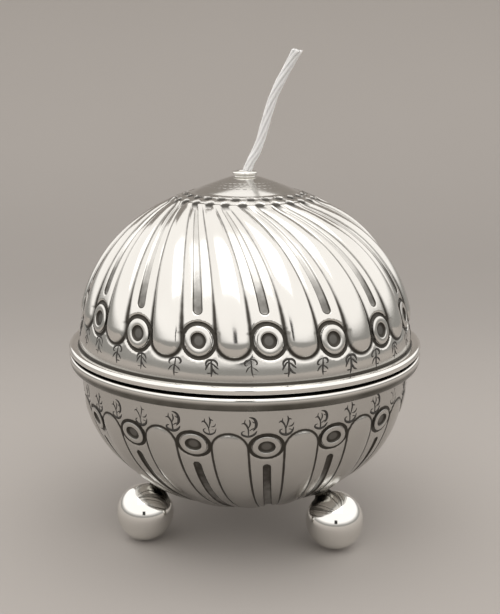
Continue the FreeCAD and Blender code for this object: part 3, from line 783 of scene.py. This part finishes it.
neck_start = math.degrees(math.acos(NECK_RADIUS / FOOT_RADIUS))
neck_end = FOOT_RADIUS + FOOT_NECK + 0.3
foot_outline = (bow((0, 0), FOOT_RADIUS, -90, neck_start - 3, 48)
                + bow((NECK_RADIUS + 0.45, neck_end - 0.9), 0.45, 200, 140, 6)
                + [(NECK_RADIUS + 0.2, neck_end), (0, neck_end)])
foot_outline[0] = (0, -FOOT_RADIUS)
low, aside = math.sin(FOOT_TURN), math.cos(FOOT_TURN)
normal = Vector((aside / BOWL["Radius"], 0, low / BOWL["Height"])).normalized()
foot_circle = BOWL["Radius"] * aside + (FOOT_RADIUS + FOOT_NECK) * normal.x
for node, azimuth in (("foot_right", 54), ("foot_back", 174), ("foot_left", 294)):
    foot = turned_piece(node + "_ball", foot_outline, polished, 96)
    around = math.radians(azimuth)
    way = Vector((-normal.x * math.sin(around), normal.x * math.cos(around), normal.z))
    foot.data.transform(way.to_track_quat("Z", "Y").to_matrix().to_4x4())
    centre = Vector((foot_circle * math.sin(around), -foot_circle * math.cos(around), FOOT_RADIUS))
    for vertex in foot.data.vertices:
        vertex.co += centre * MM
    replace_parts(foot, node)
    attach(foot, "bowl_body")


# Rims. A half-round silver wire is soldered round each mouth, flat side to the joint, and a plain
# collar inside the bowl's mouth centres the lid. The wires and collar carry painted shade below
# about
# 52 mm, and the gap between the two wires is painted nearly black as shadow.
BOWL_MOUTH = 52.766
LID_MOUTH = 53.466
RIM_RADIUS = 48.5


def rim_outline(inner, flat, way, height):
    """Closed outline of a half-round wire: shoulder at the joint, crest, and heel at the sheet."""
    width = RIM_RADIUS - inner
    crest, heel = RIM_RADIUS - width * 0.4, height - 1.0
    points = [(inner, flat), (RIM_RADIUS - 0.75, flat), (RIM_RADIUS - 0.25, flat + way * 0.1),
              (RIM_RADIUS - 0.05, flat + way * 0.4)]
    for i in range(15):
        angle = math.radians(90 * i / 14)
        points.append((crest + (RIM_RADIUS - crest) * math.cos(angle),
                       flat + way * (1.0 + (height - 1.0) * math.sin(angle))))
    for i in range(1, 9):
        angle = math.radians(90 * i / 8)
        points.append((crest - (crest - inner) * math.sin(angle),
                       flat + way * (heel + (height - heel) * math.cos(angle))))
    return points


rim_silver, rim_shader, place = new_finish("rim_silver", Metallic=1.0)
level = place.parts()[2]
# Painted shade: below about 52 mm the wires and collar go dark.
shade = (1 - level.step(0.0508, 0.0521)) * 0.95
shade = (shade + (noise(place, 90.0) - 0.5) * 0.3).most(0.0)
# Painted shadow: the gap between the bowl's and the lid's wires is painted nearly black.
from_joint = (level - (BOWL_MOUTH + LID_MOUTH) / 2 * MM).maths("ABSOLUTE")
joint = 1 - from_joint.step(0.00036, 0.00044)
worn = shade.blend((0.84, 0.825, 0.79), (0.11, 0.105, 0.09))
joint.blend(worn, (0.07, 0.067, 0.06)).into(rim_shader.inputs["Base Color"])
(shade * 0.2 + joint * 0.3 + 0.09).into(rim_shader.inputs["Roughness"])
bowl_rim = turned_piece("bowl_rim", rim_outline(45.12, BOWL_MOUTH, -1, 3.5), rim_silver, 256)
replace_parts(bowl_rim, "bowl_rim_wire")
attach(bowl_rim, "bowl_body")
lid_rim = turned_piece("lid_rim", rim_outline(45.32, LID_MOUTH, 1, 1.95), rim_silver, 256)
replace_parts(lid_rim, "lid_rim_wire")
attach(lid_rim, "lid_body")
collar = turned_piece("collar", [(43.45, 48.8), (44.25, 48.8), (44.25, 55.05), (44.13, 55.166),
                                 (43.57, 55.166), (43.45, 55.05)], rim_silver, 256)
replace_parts(collar, "bowl_collar")
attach(collar, "bowl_body")


# Hinge. Two knuckles on the bowl's rim and one on the lid's turn on a silver pin, at the back. They
# are plain round pieces, so the solids are shown as they are, with the polish of the feet.
for node in ("bowl_knuckle_left", "bowl_knuckle_right", "lid_knuckle", "hinge_pin"):
    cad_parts[node].material_slots[0].material = polished


# Lid. Raised from sheet silver like the bowl, with seventeen lobes that lean more and more towards
# the crown, where a border of oval punch marks goes round a plain cone.
LID = {**BOWL, "Radius": 45.3, "Height": 41.6, "Level": 56.066, "Way": 1.0, "Wall": 2.6,
       "Hole": 1.0, "Border": 19.3, "End": math.acos(2.25 / 45.3), "Lobes": 17,
       "First": math.radians(7.1), "Swirl": math.radians(19.0), "Relief": 1.0, "Start": 4.9,
       "Ring Set": 4.3, "Ring Width": 3.45, "Ring Height": 3.6, "Hollow Width": 1.8,
       "Hollow Height": 1.85, "Outline": 1.05, "Drop After": 6.1, "Drop Width": 1.3,
       "Drop Taper": 1.0, "Drop Tone": 0.66, "Groove": 0.3, "Groove Width": 0.5, "Line": -0.5,
       "Tarnish": 0.0, "Bulge": 0.42, "Fade From": 12.0, "Fade To": 24.0, "Fade": 0.35,
       "Drop Fade": 0.55, "Slant": 0.42,
       "Columns": 38, "Rows": 90, "Fine Rows": 63, "Fine Step": 0.3, "Border Rows": 34,
       "Lining Rows": 12}
BORDER_EDGE = 19.5
BORDER_HEIGHT = 0.45
OVALS = ((18.7, 27, 0.131), (15.95, 26, -0.397))
OVAL_WIDE = 1.36
OVAL_TALL = 1.05
OVAL_DEPTH = 0.32
CROWN_RADIUS = 14.6
CROWN_SEAT = 3.4
CROWN_RISE = 4.0
CROWN_HEEL = 0.3
CROWN_BULGE = 0.14
lip = LID["Level"] + LID["Height"] * (1 - (CROWN_RADIUS / LID["Radius"]) ** 2) ** 0.5


def punched_border(size, reach, azimuth):
    """Raised band with two rows of oval hollows joined by lines, round a low domed crown."""
    rise = (1 - reach.step(BORDER_EDGE - 0.3, BORDER_EDGE + 0.3)) * (
        reach.step(CROWN_RADIUS - 0.4, CROWN_RADIUS + 0.2) * BORDER_HEIGHT)
    share = ((CROWN_RADIUS - reach) / (CROWN_RADIUS - CROWN_SEAT)).most(0.0).least(1.0)
    heel = (1 - (share * -9).maths("EXPONENT")) * CROWN_HEEL
    dome = share * CROWN_RISE + share * (1 - share) * (4 * CROWN_BULGE) + heel
    sheet = (1 - (reach / size["Radius"]) ** 2) ** 0.5 * size["Height"] + (LID["Level"] - lip)
    rise = rise + (dome - sheet.most(0.0)).most(0.0) * share.maths("GREATER_THAN", 0.0)
    ring = ((size["Start"] + size["Ring Set"]) / size["Height"]).maths("COSINE")
    angle = azimuth - size["Swirl"] * (size["Radius"] / reach.most(10.0) - 1 / ring)
    hollow = reach * 0
    for radius, count, shift in OVALS:
        place = angle * (count / math.tau) + shift
        across = (place - place.maths("ROUND")) * (math.tau / count) * radius
        down = reach - radius
        punched = oval(across, down, OVAL_WIDE, OVAL_TALL)
        hollow = hollow.most(punched.step(-0.04, 0.22)).most((down + 0.1).bell(0.22) * 0.6)
    return rise - hollow * OVAL_DEPTH, hollow * 0.85


lid = grow("lid_raised", raised_half("raised_lid", LID, silver, punched_border), LID, ring_tool())
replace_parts(outward(lid), "lid")
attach(lid, "lid_body")


# Leaf sprigs on the lid, smaller and more upright than the bowl's. One is chased below each cusp,
# thirty-four in all, and oxide keeps its strokes black.
LID_SPRIGS = [
    [[(-1.3, 0.3, 0.07), (-1.45, 1.1, 0.19), (-0.7, 1.85, 0.21), (0.1, 1.9, 0.2),
      (0.9, 1.85, 0.22), (1.5, 1.1, 0.2), (1.4, 0.5, 0.07)],
     [(0.0, 1.3, 0.07), (-0.5, 1.2, 0.16), (-0.9, 0.6, 0.18), (-1.35, 0.0, 0.19),
      (-1.5, -0.5, 0.06)],
     [(0.05, 1.2, 0.07), (0.5, 0.9, 0.16), (0.9, 0.4, 0.18), (1.4, 0.1, 0.16), (1.6, -0.2, 0.05)],
     [(0.05, 1.8, 0.14), (0.0, 0.8, 0.2), (0.0, -0.3, 0.22), (-0.15, -1.2, 0.19),
      (-0.3, -2.0, 0.08)],
     [(0.05, 0.2, 0.08), (0.35, -0.5, 0.19), (0.8, -1.15, 0.19), (1.45, -1.3, 0.08)],
     [(-0.2, -1.1, 0.08), (-0.7, -1.25, 0.17), (-1.25, -1.15, 0.07)]],
    [[(-0.15, 1.9, 0.08), (-0.9, 1.8, 0.2), (-1.5, 1.0, 0.2), (-1.2, 0.4, 0.14),
      (-0.8, 0.7, 0.05)],
     [(-0.1, 1.95, 0.09), (0.7, 2.1, 0.21), (1.45, 1.4, 0.22), (1.3, 0.7, 0.16), (0.8, 0.8, 0.05)],
     [(0.05, 1.9, 0.12), (0.1, 0.7, 0.2), (-0.05, -0.4, 0.22), (0.1, -1.4, 0.19),
      (0.25, -2.1, 0.07)],
     [(0.0, 0.5, 0.07), (-0.6, 0.2, 0.17), (-1.1, -0.4, 0.19), (-1.35, -1.0, 0.07)],
     [(0.05, 0.4, 0.07), (0.6, 0.0, 0.17), (1.2, -0.4, 0.18), (1.5, -0.9, 0.06)],
     [(0.05, -1.2, 0.07), (0.6, -1.4, 0.16), (1.15, -1.25, 0.06)]]]
LID_MARKS = {**{name: LID[name] for name in BOWL_MARKS if name in LID}, "Mark": 2.85,
             "Mark Sway": 3.6, "Mark Aside": -0.018}
lid_sprigs = grow("lid_sprigs", sprig_ring("lid_sprigs", LID_MARKS, oxidised), LID_MARKS,
                  stroke_mesh(LID_SPRIGS))
outward(lid_sprigs)
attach(lid_sprigs, "lid_body")


# Eyelet. A turned silver barrel, soldered into the crown of the lid, opens into one rounded
# flange at its lip, which the twine runs over.
EYELET_OUTLINE = [(1.75, -1.5), (2.24, -1.5), (2.24, 0.0), (2.9, 0.0), (2.85, 0.9), (2.65, 1.15),
                  (2.72, 1.3), (3.2, 1.4), (3.38, 1.6), (3.38, 1.85), (3.25, 2.15), (2.95, 2.34),
                  (2.6, 2.4), (2.1, 2.34), (1.82, 2.1), (1.75, 1.8)]

seat = lip + CROWN_SEAT
eyelet = turned_piece("eyelet", [(r, seat + z) for r, z in EYELET_OUTLINE], polished, 96)
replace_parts(eyelet, "string_eyelet")
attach(eyelet, "lid_body")


# Setting. A warm grey sheet of paper runs under the box and curves up behind it. The room is pale
# above and grey below, and a dark plate in front of the box shows as a mark in the lobes.
paper, paper_shader, place = new_finish("grey_paper", Roughness=0.95)
back = place.parts()[1]
shade = (back.step(0.02, 0.26) - back.step(0.4, 0.66)) * 0.8 + noise(place, 8.0) * 0.2
shade.blend((0.385, 0.358, 0.334), (0.30, 0.28, 0.262)).into(paper_shader.inputs["Base Color"])
sweep = bmesh.new()
profile = [(-0.36, 0.0, 0.8), (0.3, 0.0, 0.5), (0.35, 0.0, 0.38)]
profile += [(0.35 + 0.3 * math.sin(a), 0.3 - 0.3 * math.cos(a), 0.38) for a in
            [math.radians(90 * i / 16) for i in range(1, 17)]]
profile.append((0.65, 0.79, 0.55))
left = [sweep.verts.new((-half, y, z)) for y, z, half in profile]
right = [sweep.verts.new((half, y, z)) for y, z, half in profile]
for i in range(len(profile) - 1):
    sweep.faces.new((left[i], right[i], right[i + 1], left[i + 1]))
paper_mesh = bpy.data.meshes.new("paper")
sweep.to_mesh(paper_mesh)
sweep.free()
paper_mesh.materials.append(paper)
paper_mesh.shade_smooth()
show("paper", paper_mesh)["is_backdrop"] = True


def softbox(name, place, aim, width, height, power):
    """Soft lamp that shines from its place towards the aim."""
    lamp = bpy.data.lights.new(name, "AREA")
    lamp.shape = "RECTANGLE"
    lamp.size, lamp.size_y, lamp.energy = width, height, power
    holder = bpy.data.objects.new(name, lamp)
    holder.location = place
    holder.rotation_euler = (Vector(aim) - Vector(place)).to_track_quat("-Z", "Y").to_euler()
    bpy.context.scene.collection.objects.link(holder)


softbox("ceiling_light", (0.0, -0.25, 0.85), (0, 0, 0.05), 0.9, 0.7, 2.0)

world = bpy.data.worlds.new("room")
bpy.context.scene.world = world
world.use_nodes = True
room = world.node_tree
look = Link(room, room.nodes.new("ShaderNodeTexCoord").outputs["Generated"])
side, front, height = look.parts()
light = height.step(0.04, 0.26).blend((0.345, 0.335, 0.315), (1.27, 1.235, 1.20))
plate = (1 - side.maths("ABSOLUTE").step(0.09, 0.11)) * (1 - front.step(-0.1, 0.0))
plate = plate * height.step(0.14, 0.17) * (1 - height.step(0.38, 0.41))
seen = look.node("ShaderNodeLightPath", output="Is Camera Ray")
seen.blend(plate.blend(light, (0.02, 0.02, 0.02)), (0.39, 0.36, 0.33)).into(
    room.nodes["Background"].inputs["Color"])
room.nodes["Background"].inputs["Strength"].default_value = 1.0


low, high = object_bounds()
